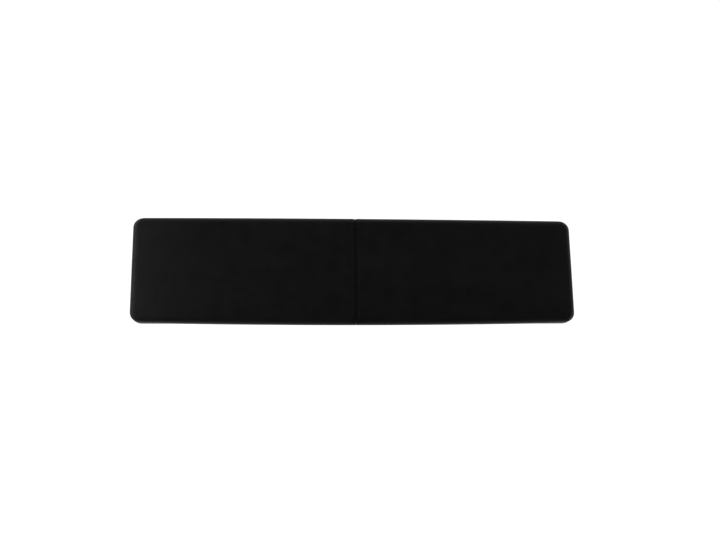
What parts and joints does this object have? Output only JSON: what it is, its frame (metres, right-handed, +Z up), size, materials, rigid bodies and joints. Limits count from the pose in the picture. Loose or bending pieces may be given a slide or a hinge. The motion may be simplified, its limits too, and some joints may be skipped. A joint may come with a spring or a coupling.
{
  "type": "wall punch pad",
  "caption": "Long flat wall pad for punching practice: foam on plywood in a black leather cover, folding in half face to face at a soft seam, hung on keyhole plates.",
  "frame": {"origin": "on the wall plane behind the pad, at the fold line and at mid height", "axes": "+X along the pad to the right as seen from the front, +Y into the wall, +Z up; the face looks along -Y"},
  "size_m": [0.84, 0.028, 0.2],
  "materials": {
    "plywood": "matte",
    "firm_foam": "matte",
    "soft_foam": "matte",
    "black_leather": "satin",
    "strip_leather": "satin",
    "woven_tape": "matte",
    "black_back_cloth": "matte",
    "staple_wire": "satin",
    "black_staple_wire": "satin",
    "zinc_steel": "satin",
    "screw_steel": "satin"
  },
  "bodies": {
    "left_half": {"left_board": "plywood", "left_base_foam": "firm_foam", "left_face_foam": "soft_foam", "left_cover": "black_leather", "left_cover_staples": "staple_wire", "left_back_cloth": "black_back_cloth", "left_cloth_staples": "black_staple_wire", "left_hangers": "zinc_steel", "left_hanger_screws": "screw_steel", "spine_strip": "strip_leather", "spine_tape": "woven_tape"},
    "right_half": {"right_board": "plywood", "right_base_foam": "firm_foam", "right_face_foam": "soft_foam", "right_cover": "black_leather", "right_cover_staples": "staple_wire", "right_back_cloth": "black_back_cloth", "right_cloth_staples": "black_staple_wire", "right_hangers": "zinc_steel", "right_hanger_screws": "screw_steel"}
  },
  "joints": [
    {"name": "fold", "type": "hinge", "parent": "left_half", "child": "right_half", "pos_m": [0, -0.029, 0], "axis": [0, 0, -1], "range_deg": [0, 180], "deforming": ["spine_strip", "spine_tape"]}
  ]
}
